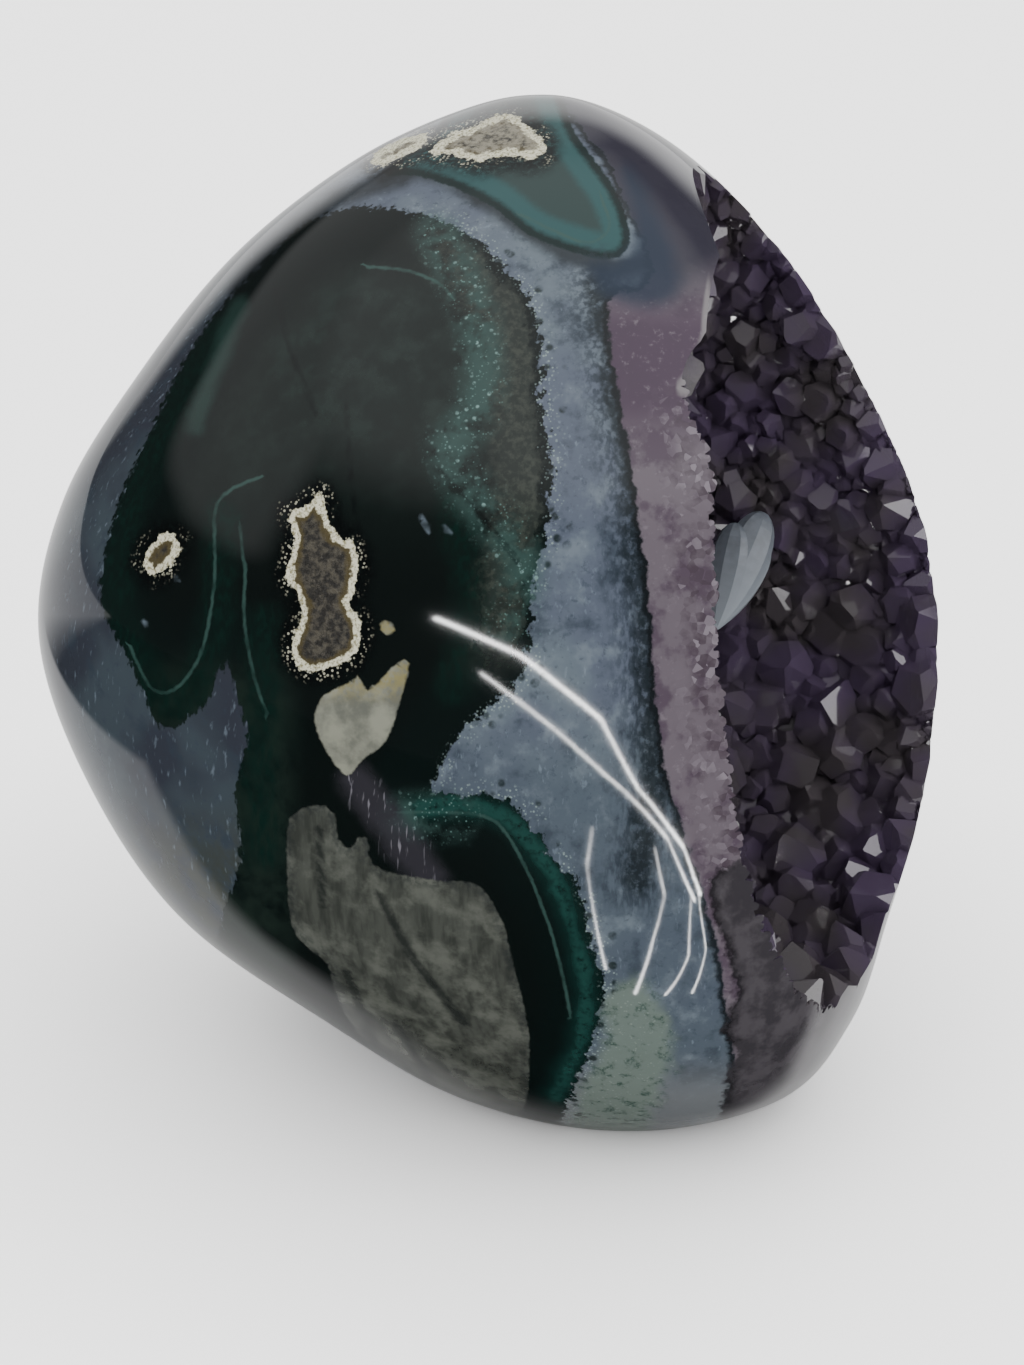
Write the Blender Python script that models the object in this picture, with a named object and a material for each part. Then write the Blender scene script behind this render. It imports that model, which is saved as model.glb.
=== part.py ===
"""Amethyst geode: a polished agate stone, open on its right side, and the crust of amethyst
crystals in its hollow, with a pale calcite crystal grown on them.

Lengths in the constants are millimetres. The stone is lofted upright along its own long axis,
in a body frame with X to the right, Y to the back and Z up. It then leans back, as it stands,
and is ground flat underneath.
"""

import math
import random

import bmesh
import bpy
from mathutils import Matrix, Vector

MM = 0.001
GAP = 0.3  # clearance between pieces that touch

# How the stone stands
LEAN_DEG = 26.0  # the long axis leans back from upright
GROUND = 0.5  # level of the flat foot in the leaned body frame
OUTLINE_CENTRE = (0.3, 27.65)  # middle of the standing stone's box, seen from above

# Slices of the stone, bottom to top: height, left, right, front, back
SLICES = (
    (0.0, 17.0, 17.0, 2.0, 2.0),
    (4.0, -3.0, 37.0, -16.0, 22.0),
    (14.0, -20.5, 46.0, -30.0, 36.0),
    (27.0, -38.5, 50.5, -39.0, 43.5),
    (44.0, -50.0, 55.3, -44.5, 47.0),
    (62.0, -56.0, 57.0, -46.5, 48.0),
    (79.0, -53.0, 54.5, -45.0, 46.0),
    (95.0, -43.5, 47.0, -39.5, 41.0),
    (110.0, -31.5, 37.5, -29.5, 31.5),
    (121.5, -17.0, 26.5, -18.0, 20.0),
    (128.0, -3.5, 16.0, -8.0, 9.5),
    (130.0, 6.5, 6.5, 0.0, 0.0),
)
FULLNESS = 2.08  # superellipse power of a slice: 2 is an ellipse, more is squarer
FRONT_SHIFT = 0.28  # the foremost line lies right of the middle, as a share of the half width
BACK_SHIFT = -0.32  # the rearmost line lies left of it
STONE_RINGS, STONE_SIDES = 24, 40
SMOOTH_DEG = 40.0  # edges of the polish sharper than this, such as the foot's, stay sharp

# The hollow, before its crystals: lobes that break through the stone's right side
HOLLOW_MIDDLE = (38.0, -17.0, 74.0)
MOUTH_TURN_DEG = 45.0  # the mouth faces the front, turned this far to the right
LOBES = (  # centre; radii along the mouth, into the stone and up; solid quartz around it
    ((42.5, -18.5, 84.0), (19.0, 32.0, 47.0), 10.0),
    ((43.0, -21.5, 66.0), (29.5, 32.0, 49.5), 4.5),
    ((30.5, -37.5, 89.0), (8.5, 9.0, 10.0), 4.5),
)
CAVITY_SIDES = 26  # facets around the quartz's outer side
HOLLOW_SIDES = 16  # facets around the hollow
RINGS_A_SIDE = 0.75  # rings of facets, as a share of those around

# Crystals
CRYSTAL_RADIUS = (4.7, 3.3)  # at the foot and at the top of the hollow
CRYSTAL_VARIES = (0.8, 1.25)  # times that radius
CRYSTAL_SPACING = 1.1  # distance between neighbours, as a multiple of their radius
CRYSTAL_ROOT = 1.5  # depth of a crystal's foot in the wall
CRYSTAL_HEIGHT = (1.2, 1.7)  # as a multiple of the radius
CRYSTAL_SKEW = 0.2  # how far the tip is off the axis, as a multiple of the radius
CRYSTAL_TILT = 0.14  # how far an axis leans from the wall's normal
CRYSTAL_KINDS = 7
CRYSTAL_TRIES = 20000
CRYSTAL_SEED = 5
FEELER = 0.05  # step to the side, as a share of the reach, that gives the wall's normal

# The calcite: two blades, pale and crossed, on the hollow's far wall
CALCITE_PLACE = (32.6, 0.5, 71.0)
CALCITE_SIZE = (3.4, 2.6, 8.6)  # half width, half thickness, half length
CALCITE_TILTS = ((-6.0, 26.0, 20.0), (2.0, 34.0, -30.0))  # degrees about X, Y and Z


def stand():
    """From the body frame, in millimetres, to the standing stone in metres."""
    x, y = OUTLINE_CENTRE
    lean = Matrix.Rotation(math.radians(-LEAN_DEG), 4, "X")
    return Matrix.Scale(MM, 4) @ Matrix.Translation((-x, -y, -GROUND)) @ lean


def curve(a, b, c, d, t):
    """Catmull-Rom curve from b to c, coming from a and going on to d."""
    straight = 2 * b + (c - a) * t
    bend = (2 * a - 5 * b + 4 * c - d) * t**2 + (3 * b - a - 3 * c + d) * t**3
    return 0.5 * (straight + bend)


def slice_at(share):
    """The stone's slice at a share of the way from its lowest point, 0, to its top, 1."""
    # A mirrored slice past each end makes the end round
    ends = [(h, right, left, back, front) for h, left, right, front, back in SLICES]
    rows = [ends[1], *SLICES, ends[-2]]
    place = share * (len(SLICES) - 1)
    i = min(int(place), len(SLICES) - 2)
    return [curve(*column, place - i) for column in zip(*rows[i : i + 4])]


def on_slice(row, angle):
    """A point of a slice's outline: angle 0 is the right end, a quarter turn the back."""
    height, left, right, front, back = row
    across = math.copysign(abs(math.cos(angle)) ** (2 / FULLNESS), math.cos(angle))
    along = math.copysign(abs(math.sin(angle)) ** (2 / FULLNESS), math.sin(angle))
    shift = BACK_SHIFT if along > 0 else FRONT_SHIFT
    across += shift * (1 - across**2) * abs(along)
    x = (left + right) / 2 + across * (right - left) / 2
    y = (front + back) / 2 + along * (back - front) / 2
    return Vector((x, y, height))


def stone_mesh():
    """The whole stone, closed, with its flat foot and without its hollow."""
    bm = bmesh.new()
    bmesh.ops.create_uvsphere(bm, u_segments=STONE_SIDES, v_segments=STONE_RINGS, radius=1)
    for vert in bm.verts:
        x, y, z = vert.co
        share = math.acos(max(-1, min(1, -z))) / math.pi
        vert.co = on_slice(slice_at(share), math.atan2(y, x))
    bmesh.ops.transform(bm, matrix=stand(), verts=bm.verts)
    geometry = [*bm.verts, *bm.edges, *bm.faces]
    cut = bmesh.ops.bisect_plane(
        bm, geom=geometry, plane_co=(0, 0, 0), plane_no=(0, 0, 1), clear_inner=True
    )
    foot_rim = [item for item in cut["geom_cut"] if isinstance(item, bmesh.types.BMEdge)]
    bmesh.ops.edgeloop_fill(bm, edges=foot_rim)
    mesh = finished(bm, "stone")
    mesh.shade_smooth()
    mesh.set_sharp_from_angle(angle=math.radians(SMOOTH_DEG))
    return mesh


def mouth_turn():
    """A turn that lays X along the mouth and Y into the stone."""
    return Matrix.Rotation(math.radians(MOUTH_TURN_DEG), 3, "Z")


def wall_point(direction, quartz=0.0, gap=0.0):
    """Where a line from the hollow's middle meets its wall, or meets the quartz's outer side
    when the share of the quartz is 1."""
    turn = mouth_turn().transposed()
    start = Vector(HOLLOW_MIDDLE)
    reach = 0.0
    for centre, radii, depth in LOBES:
        radii = [radius + depth * quartz - gap for radius in radii]
        a, b = turn @ (start - Vector(centre)), turn @ direction
        a = Vector(p / r for p, r in zip(a, radii))
        b = Vector(p / r for p, r in zip(b, radii))
        root = a.dot(b) ** 2 - b.dot(b) * (a.dot(a) - 1)
        if root > 0:
            reach = max(reach, (math.sqrt(root) - a.dot(b)) / b.dot(b))
    return start + direction * reach


def wall_mesh(name, sides, quartz=0.0, gap=0.0):
    """A closed surface of the hollow's form, or of the quartz's outer side."""
    bm = bmesh.new()
    bmesh.ops.create_uvsphere(bm, u_segments=sides, v_segments=round(sides * RINGS_A_SIDE), radius=1)
    spread = mouth_turn() @ Matrix.Diagonal(LOBES[1][1])
    for vert in bm.verts:
        vert.co = wall_point((spread @ vert.co).normalized(), quartz, gap)
    # Fixed diagonals, so that two walls a gap apart have facets that run alike
    bmesh.ops.triangulate(bm, faces=bm.faces, quad_method="FIXED")
    bmesh.ops.transform(bm, matrix=stand(), verts=bm.verts)
    return finished(bm, name)


def finished(bm, name):
    """The mesh of a bmesh, with its faces outwards."""
    bmesh.ops.recalc_face_normals(bm, faces=bm.faces)
    mesh = bpy.data.meshes.new(name)
    bm.to_mesh(mesh)
    bm.free()
    return mesh


def crystal_kind(rng):
    """The pointed end of an amethyst crystal of radius 1, with its foot at the origin."""
    bm = bmesh.new()
    height = rng.uniform(*CRYSTAL_HEIGHT)
    bmesh.ops.create_cone(bm, cap_ends=True, segments=6, radius1=1, radius2=0, depth=height)
    bmesh.ops.translate(bm, verts=bm.verts, vec=(0, 0, height / 2))
    for vert in bm.verts:
        if vert.co.z > height / 2:
            vert.co.x += rng.uniform(-1, 1) * CRYSTAL_SKEW
            vert.co.y += rng.uniform(-1, 1) * CRYSTAL_SKEW
    return finished(bm, "crystal kind")


def in_stone(point):
    """Whether a point of the body frame is inside the stone, roughly."""
    heights = [row[0] for row in SLICES]
    if not heights[0] < point.z < heights[-1]:
        return False
    upper = next(i for i, height in enumerate(heights) if height > point.z)
    t = (point.z - heights[upper - 1]) / (heights[upper] - heights[upper - 1])
    row = [low + (high - low) * t for low, high in zip(SLICES[upper - 1], SLICES[upper])]
    _, left, right, front, back = row
    across = (2 * point.x - left - right) / (right - left)
    along = (2 * point.y - front - back) / (back - front)
    return math.hypot(across, along) < 1


def wall_normal(direction):
    """The wall's normal where a line from the hollow's middle meets it, pointing into the hollow."""
    foot = wall_point(direction)
    side = direction.orthogonal().normalized() * FEELER
    one = wall_point((direction + side).normalized()) - foot
    other = wall_point((direction + direction.cross(side)).normalized()) - foot
    normal = one.cross(other).normalized()
    return -normal if normal.dot(direction) > 0 else normal


def crystal_places(rng):
    """Feet, axes and radii of the crystals on the hollow's wall."""
    places = []
    spread = mouth_turn() @ Matrix.Diagonal(LOBES[1][1])
    low = wall_point(Vector((0, 0, -1))).z
    high = wall_point(Vector((0, 0, 1))).z
    for _ in range(CRYSTAL_TRIES):
        on_sphere = Vector([rng.gauss(0, 1) for _ in range(3)]).normalized()
        direction = (spread @ on_sphere).normalized()
        foot = wall_point(direction)
        rise = (foot.z - low) / (high - low)
        radius = CRYSTAL_RADIUS[0] + (CRYSTAL_RADIUS[1] - CRYSTAL_RADIUS[0]) * rise
        radius *= rng.uniform(*CRYSTAL_VARIES)
        room = CRYSTAL_SPACING / 2
        if not in_stone(foot):
            continue
        if any((foot - place).length < room * (radius + beside) for place, _, beside in places):
            continue
        lean = Vector([rng.gauss(0, 1) for _ in range(3)]) * CRYSTAL_TILT
        places.append((foot, (wall_normal(direction) + lean).normalized(), radius))
    return places


def crystals_mesh():
    """Every amethyst crystal, each with its foot in the wall."""
    rng = random.Random(CRYSTAL_SEED)
    kinds = [crystal_kind(rng) for _ in range(CRYSTAL_KINDS)]
    bm = bmesh.new()
    for foot, axis, radius in crystal_places(rng):
        mesh = rng.choice(kinds).copy()
        place = Matrix.Translation(foot - axis * CRYSTAL_ROOT)
        turn = axis.to_track_quat("Z", "X").to_matrix().to_4x4()
        spin = Matrix.Rotation(rng.uniform(0, math.tau), 4, "Z")
        mesh.transform(stand() @ place @ turn @ spin @ Matrix.Scale(radius, 4))
        bm.from_mesh(mesh)
        bpy.data.meshes.remove(mesh)
    for mesh in kinds:
        bpy.data.meshes.remove(mesh)
    return finished(bm, "crystals")


def calcite_mesh():
    """Two crossed blades, each a flat leaf with a ridge along its length."""
    bm = bmesh.new()
    for tilts in CALCITE_TILTS:
        blade = bmesh.ops.create_uvsphere(bm, u_segments=6, v_segments=5, radius=1)["verts"]
        turn = Matrix.Translation(CALCITE_PLACE)
        for axis, degrees in zip("ZYX", reversed(tilts)):
            turn = turn @ Matrix.Rotation(math.radians(degrees), 4, axis)
        size = Matrix.Diagonal((*CALCITE_SIZE, 1))
        bmesh.ops.transform(bm, matrix=stand() @ turn @ size, verts=blade)
    return finished(bm, "calcite")


def add_object(name, mesh, collection):
    obj = bpy.data.objects.new(name, mesh)
    collection.objects.link(obj)
    return obj


def add_cutter(name, mesh, collection):
    obj = add_object(name, mesh, collection)
    obj.hide_render = True
    obj.display_type = "WIRE"
    return obj


def add_boolean(obj, other, operation, overlapping=False):
    boolean = obj.modifiers.new(other.name, "BOOLEAN")
    boolean.operation = operation
    boolean.object = other
    boolean.solver = "EXACT"
    boolean.use_self = overlapping


def add_material(obj, name, colour, roughness):
    material = bpy.data.materials.new(name)
    material.use_nodes = True
    shader = material.node_tree.nodes["Principled BSDF"]
    shader.inputs["Base Color"].default_value = (*colour, 1)
    shader.inputs["Roughness"].default_value = roughness
    shader.inputs["Metallic"].default_value = 0.0
    obj.data.materials.append(material)


def main():
    for obj in list(bpy.data.objects):
        bpy.data.objects.remove(obj)
    parts = bpy.data.collections.new("amethyst_geode")
    cutters = bpy.data.collections.new("cutters")
    for collection in (parts, cutters):
        bpy.context.scene.collection.children.link(collection)

    whole = add_cutter("whole stone", stone_mesh(), cutters)
    cavity = add_cutter("cavity", wall_mesh("cavity", CAVITY_SIDES, quartz=1.0), cutters)
    hollow = add_cutter("hollow", wall_mesh("hollow", HOLLOW_SIDES), cutters)
    crystals = add_cutter("crystals", crystals_mesh(), cutters)
    calcite = add_cutter("calcite", calcite_mesh(), cutters)

    shell = add_object("agate_shell", stone_mesh(), parts)
    add_boolean(shell, cavity, "DIFFERENCE")
    add_material(shell, "polished agate", (0.11, 0.14, 0.13), 0.08)

    # The crystals are taken from the hollow's form, and what is left of it from the crust
    add_boolean(hollow, crystals, "DIFFERENCE", overlapping=True)
    add_boolean(hollow, calcite, "DIFFERENCE", overlapping=True)
    crust_wall = wall_mesh("crust", CAVITY_SIDES, quartz=1.0, gap=GAP)
    crust = add_object("amethyst_crust", crust_wall, parts)
    add_boolean(crust, hollow, "DIFFERENCE")
    add_boolean(crust, whole, "INTERSECT")
    add_material(crust, "amethyst", (0.10, 0.04, 0.20), 0.15)


main()
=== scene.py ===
import math
import random

import bmesh
import bpy
import numpy as np
from mathutils import Matrix, Vector
from mathutils.bvhtree import BVHTree


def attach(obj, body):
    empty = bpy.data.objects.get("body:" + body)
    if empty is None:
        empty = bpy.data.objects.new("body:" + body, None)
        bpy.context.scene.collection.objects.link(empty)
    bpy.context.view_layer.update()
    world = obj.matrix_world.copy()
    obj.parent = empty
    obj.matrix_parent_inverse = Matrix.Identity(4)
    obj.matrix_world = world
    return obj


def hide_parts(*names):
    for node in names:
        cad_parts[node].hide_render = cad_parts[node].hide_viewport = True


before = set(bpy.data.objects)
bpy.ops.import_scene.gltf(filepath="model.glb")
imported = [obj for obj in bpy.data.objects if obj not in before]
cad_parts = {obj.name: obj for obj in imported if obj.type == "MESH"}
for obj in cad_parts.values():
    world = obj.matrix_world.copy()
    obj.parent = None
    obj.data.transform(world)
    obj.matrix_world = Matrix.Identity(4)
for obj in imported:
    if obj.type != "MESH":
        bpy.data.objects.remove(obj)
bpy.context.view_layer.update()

# Lengths are in millimetres, in the stone's own frame: Z along its long axis, from its lowest
# point, X to the photo's right and Y away from the camera. standing() takes them to metres.
metresInMm = 0.001

stone = {
    "leanDeg": 26.0,  # how far the long axis leans back
    "ground": 0.5,  # height that the flat foot is ground off
    "outlineCentre": (0.3, 27.65),  # of the leaning stone, seen from above
    "slices": (  # height, left, right, front, back
        (0.0, 17.0, 17.0, 2.0, 2.0),
        (4.0, -3.0, 37.0, -16.0, 22.0),
        (14.0, -20.5, 46.0, -30.0, 36.0),
        (27.0, -38.5, 50.5, -39.0, 43.5),
        (44.0, -50.0, 55.3, -44.5, 47.0),
        (62.0, -56.0, 57.0, -46.5, 48.0),
        (79.0, -53.0, 54.5, -45.0, 46.0),
        (95.0, -43.5, 47.0, -39.5, 41.0),
        (110.0, -31.5, 37.5, -29.5, 31.5),
        (121.5, -17.0, 26.5, -18.0, 20.0),
        (128.0, -3.5, 16.0, -8.0, 9.5),
        (130.0, 6.5, 6.5, 0.0, 0.0),
    ),
    "fullness": 2.08,  # 2 is an ellipse, more is squarer
    "frontShift": 0.28,  # how far the front's ridge is to the right
    "backShift": -0.32,
    "sides": 320,
    "rings": 200,
    "frontDensity": 0.35,  # how much closer the sides are at the front
}

hollow = {
    "middle": (38.0, -17.0, 74.0),
    "mouthTurnDeg": 45.0,  # between the picture plane and the mouth
    "lobes": (  # centre; radii along the mouth, into the stone and up; solid quartz around it
        ((42.5, -18.5, 84.0), (19.0, 32.0, 47.0), 10.0),
        ((43.0, -21.5, 66.0), (29.5, 32.0, 49.5), 4.5),
        ((30.5, -37.5, 89.0), (8.5, 9.0, 10.0), 4.5),
    ),
    "sides": 96,
    "rings": 72,
}

crystals = {
    "radius": (3.4, 1.7),  # at the hollow's lower and upper end
    "varies": (0.5, 1.5),
    "spacing": 1.02,  # distance between neighbours, as a multiple of their radius
    "root": 1.6,  # depth of a foot in the wall
    "prism": (0.25, 0.75),  # height of the straight sides, as a multiple of the radius
    "slopeDeg": (47.0, 56.0),  # of the six faces of a point
    "uneven": 0.22,  # how unequal the six faces are
    "lean": 0.24,  # how far an axis is from the wall's normal
    "minor": (-0.125, 0.1),  # how much lower every second slope starts, and higher the others
    "slopeFoot": 0.87,  # from the axis to where a slope starts, as a multiple of the radius
    "middle": 0.3,  # of a crystal above its foot, as a multiple of the radius
    "apart": 1.75,  # gap within a group, as a multiple of two radii
    "kinds": 14,
    "tries": 26000,
    "seed": 11,
    "rim": {  # small crystals that the polish has cut, along the edge of the hollow
        "radius": (0.45, 0.95),
        "depth": (-1.8, 0.3),  # from the polished surface
        "highest": 92.0,
        "tries": 90000,
    },
}

calcite = {  # leaves that fan out from one foot
    "foot": (28.7, -1.6, 63.4),
    "leaves": (  # half width, half thickness and length; tilts about X, Y and Z
        ((2.5, 1.5, 14.0), (-10.0, 8.0, -24.0)),
        ((3.1, 1.9, 17.2), (-13.0, 26.0, 8.0)),
        ((2.4, 1.5, 14.6), (-6.0, 42.0, 34.0)),
    ),
    "fullest": 0.62,  # height of a leaf's widest place, as a share of its length
}

view = {
    "elevationDeg": 26.0,
    "distance": 600.0,
    "aimHeight": 64.9,  # of the aim point on the long axis
    "aimPixel": (486.0, 614.0),
    "imageSize": (1024, 1365),
    "mmPerPixel": 0.1255,  # at the aim point
    "sensorMm": 36.0,
}


areas = {  # flush markings of the front, in mm right of and above the stone's lowest point
    "moss": (
        ((-29, 108), (-23.5, 113.5), (-18.5, 115.5), (-14.5, 116), (-7.5, 115), (-2, 112.5),
         (2, 108.5), (5.5, 104.5), (7, 98.5), (7, 91.5), (8, 85.5), (8, 79), (7.5, 74), (6, 69),
         (5.5, 61.5), (3.5, 55.5), (0.5, 53.5), (-2.5, 50.5), (-4.5, 47.5), (-6, 44.5), (-7, 42.5),
         (-1, 42), (3.5, 41), (6, 38), (8.5, 34), (11.5, 31), (13, 25), (14.5, 17.5), (13.5, 11.5),
         (10, 3.5), (7, -2.5), (-11, -6), (-27, 8), (-34, 20), (-31, 34), (-31.5, 43), (-30, 49),
         (-31, 54), (-32.5, 59), (-33.5, 58), (-35, 54), (-38, 51.5), (-40.5, 50.5), (-42.5, 53.5),
         (-44.5, 58.5), (-47.5, 64), (-48.5, 68), (-47.5, 74), (-45.5, 80.5), (-42, 88),
         (-38.5, 95.5), (-34, 102.5)),
    ),
    "topLobe": (
        ((-2, 134), (7.5, 133), (11, 125.5), (13.5, 122), (16.5, 117.5), (18, 112.5), (17, 110),
         (14.5, 109.5), (10.5, 110.5), (5.5, 112.5), (1, 116), (-4, 118.5), (-9, 120),
         (-12.5, 120), (-11, 122), (-6, 126)),
    ),
    "massive": (
        ((28, 30.5), (31, 33.5), (36, 31), (45.5, 21.5), (52, 29), (62, 16.5), (52, -6),
         (31.2, -6), (30.2, 6.5), (31.6, 9.5), (30, 12.8), (31.4, 18), (29.6, 24)),
    ),
    "mottled": (
        ((15, 17.5), (20.5, 18.5), (23, 14), (23.5, 9), (21, 2.5), (19.5, -4), (9.5, -4),
         (12.5, 6.5), (14.5, 11.5)),
    ),
    "darkBlue": (
        ((17.5, 121), (20.5, 117), (23.5, 110.5), (24, 105.5), (21, 103.5), (17.5, 104),
         (14.5, 105.5), (13, 108.5), (16, 109), (18.5, 112.5), (18, 117)),
    ),
    "paleCalcite": (
        ((-21.5, 51), (-21, 54), (-19, 55.5), (-17, 56.5), (-16, 57.5), (-15.5, 56), (-14.5, 55.5),
         (-12, 58), (-9.5, 59.5), (-10, 56.5), (-11, 53), (-12.5, 49), (-15.5, 46.5),
         (-17.5, 44.5), (-20, 47.5)),
        ((-13.6, 63.4), (-12.9, 64.2), (-11.6, 63.6), (-11.4, 62.6), (-12.6, 62.2)),
        ((-25, 38), (-24, 40), (-21, 41), (-19, 40), (-18.5, 36.5), (-17, 35.5), (-16, 37),
         (-14.5, 36.5), (-14.5, 34), (-12, 32.5), (-6, 31.5), (-1, 31), (2, 26.5), (3.5, 21),
         (5, 15), (5.5, 10), (4.5, 2.5), (-2, 3.5), (-9.5, 7), (-15, 11), (-18.5, 16), (-20, 21),
         (-22.5, 23), (-24.5, 26), (-25, 31.5)),
    ),
    "hostRock": (
        ((-42.4, 70.2), (-42.9, 71.7), (-41.9, 73.5), (-40.5, 74.9), (-39.2, 74.9), (-38.5, 73.5),
         (-39.4, 71.7), (-40.9, 70.2)),
        ((-24.1, 74.2), (-24.2, 76.7), (-23.1, 77.9), (-21.3, 79.2), (-20.1, 77.7), (-19.2, 75.2),
         (-16.8, 73.5), (-16.1, 70.9), (-16.8, 67.9), (-17.3, 66.4), (-16.2, 64.4), (-15.8, 61.6),
         (-17.1, 59.4), (-19.6, 58.2), (-22.6, 57.9), (-24.1, 59.4), (-24, 62.1), (-23, 64.8),
         (-23.6, 67.3), (-24.8, 69.4)),
        ((-24.6, 76.9), (-24.4, 77.9), (-23.4, 77.9), (-23, 77), (-23.6, 76.1)),
        ((-22, 79.2), (-20.9, 79.9), (-20.2, 78.8), (-21, 77.9)),
        ((-6.8, 122.9), (-5, 124.6), (-2, 125.9), (1.8, 127.4), (4, 127.1), (5.1, 125.9),
         (6.9, 124.6), (7.2, 123), (5.3, 122.2), (2.4, 122.6), (-0.8, 121.9), (-3.9, 122.6)),
        ((-14.3, 121.9), (-12.6, 123.4), (-10, 124.6), (-7.5, 125.1), (-8.3, 123.4),
         (-10.8, 122.4), (-12.8, 121.4)),
    ),
    "quartz": (
        ((13, 134), (16, 120.5), (19.5, 113), (21, 108.5), (19.5, 105.5), (16, 105), (15.5, 100.5),
         (17, 91.5), (18.5, 81.5), (20, 71.5), (21, 61.5), (21.5, 54), (22.5, 45.5), (25.5, 35.5),
         (28.5, 25), (30, 17.5), (31.5, 6.5), (32.5, -6), (70, -6), (70, 134)),
    ),
}

lines = {  # the same, for markings that are lines
    "green": (
        ((-8.5, 40.5), (-2, 41), (3, 39), (6, 35.5), (9, 31), (11, 25), (12.5, 18.5), (12, 12),
         (9, 5)),
    ),
    "deepGreen": (
        ((-34, 100.5), (-39.5, 90.5), (-43.5, 81.5), (-46, 73), (-46.5, 66.5), (-43.5, 59),
         (-40, 54), (-36.5, 55.5), (-34.5, 61.5), (-33.5, 68), (-33, 76.5)),
        ((-28, 64), (-28, 54), (-28.5, 44), (-28, 35.5)),
        ((-4, 79), (-2, 66.5), (-4, 56.5)),
    ),
    "teal": (
        ((-28.5, 82), (-32, 80.5), (-34, 78), (-34, 71.5), (-34.5, 65.5), (-36, 59.5), (-39, 55.5),
         (-42, 55.5), (-44.5, 60.5)),
        ((-30.8, 75.8), (-30.6, 72.5), (-30.2, 70.3), (-30.4, 65.3), (-30, 61.4), (-29, 56.6),
         (-27.5, 52.5)),
        ((-15, 108.5), (-10, 108), (-6, 106.5), (-4.5, 105)),
        ((4.5, 115), (8.5, 113), (13, 111.5), (15.5, 113.5), (14.5, 117)),
        ((-11, 40), (-4.5, 40), (1, 39), (4.5, 34), (7.5, 27), (9.5, 20), (10.5, 15)),
    ),
    "speckles": (
        ((-6, 112.5), (-2.5, 105.5), (-0.5, 98), (-1, 90.5), (-4.5, 85.5), (-1, 79), (4.5, 71.5),
         (3.5, 64)),
        ((-10, 39.5), (-4.5, 39.5)),
    ),
    "veil": (
        ((-30.9, 103.7), (-32.4, 100.5), (-33.6, 96.6), (-35.2, 92.7), (-36.4, 88.7)),
    ),
    "scratched": (
        ((-16.5, 44), (-12, 38.5), (-7.5, 32)),
    ),
    "white": (
        ((-8.2, 77.2), (-7.3, 75.4)),
        ((-5.4, 75.8), (-4.6, 75.2)),
        ((-39.2, 69.6), (-38.7, 69.2)),
        ((-43, 63.9), (-42.6, 63.5)),
    ),
    "darkBand": (
        ((14, 106), (15.5, 100.5), (16.5, 93), (18, 85.5), (19, 76.5), (20, 66.5), (20.5, 56.5),
         (21, 49), (21, 43), (20, 37), (19, 32)),
    ),
    "grey": (
        ((-12.5, 119.5), (-7.5, 120.5), (-2, 118), (4.5, 113.5), (10.5, 110), (16, 108.5),
         (19.5, 109)),
        ((14.5, 128), (17, 122), (20, 115)),
        ((-31, 106), (-24.5, 112.5), (-18.5, 117), (-11, 119.5)),
    ),
    "cracks": (
        ((-17.5, 91), (-17, 83), (-16.2, 76.5), (-14.5, 70)),
        ((-26.5, 106), (-24.5, 98), (-21.5, 90.5)),
        ((-6, 83), (-0.5, 77), (4, 71.5)),
        ((-21, 38), (-20.5, 29)),
        ((-17.5, 20), (-14, 11)),
        ((-11.5, 13.5), (-7, 6.5)),
        ((-13.5, 30), (-9, 21.5), (-3, 14)),
    ),
    # where a pale highlight is painted along the hollow's rounded lip
    "paintedLipHighlight": (
        ((22.5, 124.5), (25, 117), (26.5, 108), (28, 100.5), (27, 96), (25, 93.5)),
    ),
}

picture = {
    "thin": ("teal",),  # lines narrower than the mesh's faces
    "steps": 5,  # straight pieces of a curve between two points
    "fadesOver": (1.0, 14.0),  # depths between which the front's markings end
    "far": 40.0,  # distance that ends a marking
    "darkTop": (104.0, 24.0, 0.5),  # its lower edge, that edge's lowest place, and slope
}

kindPolished, kindCrystal, kindSeam, kindCalcite = range(4)


def hexColour(text):  # an sRGB hex colour, as the linear values that Blender takes
    channels = [int(text[i : i + 2], 16) / 255 for i in (1, 3, 5)]
    linear = [c / 12.92 if c <= 0.04045 else ((c + 0.055) / 1.055) ** 2.4 for c in channels]
    return (*linear, 1.0)


def nodeTools(tree):
    # A function that adds a node and gives one of its outputs, and one that sets inputs
    def add(kind, inputs=None, out=0, **settings):
        made = tree.nodes.new("ShaderNode" + kind)
        for key, value in settings.items():
            setattr(made, key, value)
        connect(made, inputs or {})
        return made.outputs[out]

    def connect(made, inputs):
        for key, value in inputs.items():
            if isinstance(value, bpy.types.NodeSocket):
                tree.links.new(value, made.inputs[key])
            else:
                made.inputs[key].default_value = value

    return add, connect


def newMaterial(name):
    material = bpy.data.materials.new(name)
    material.use_nodes = True
    shader = material.node_tree.nodes["Principled BSDF"]
    return material, shader, *nodeTools(material.node_tree)


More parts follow.
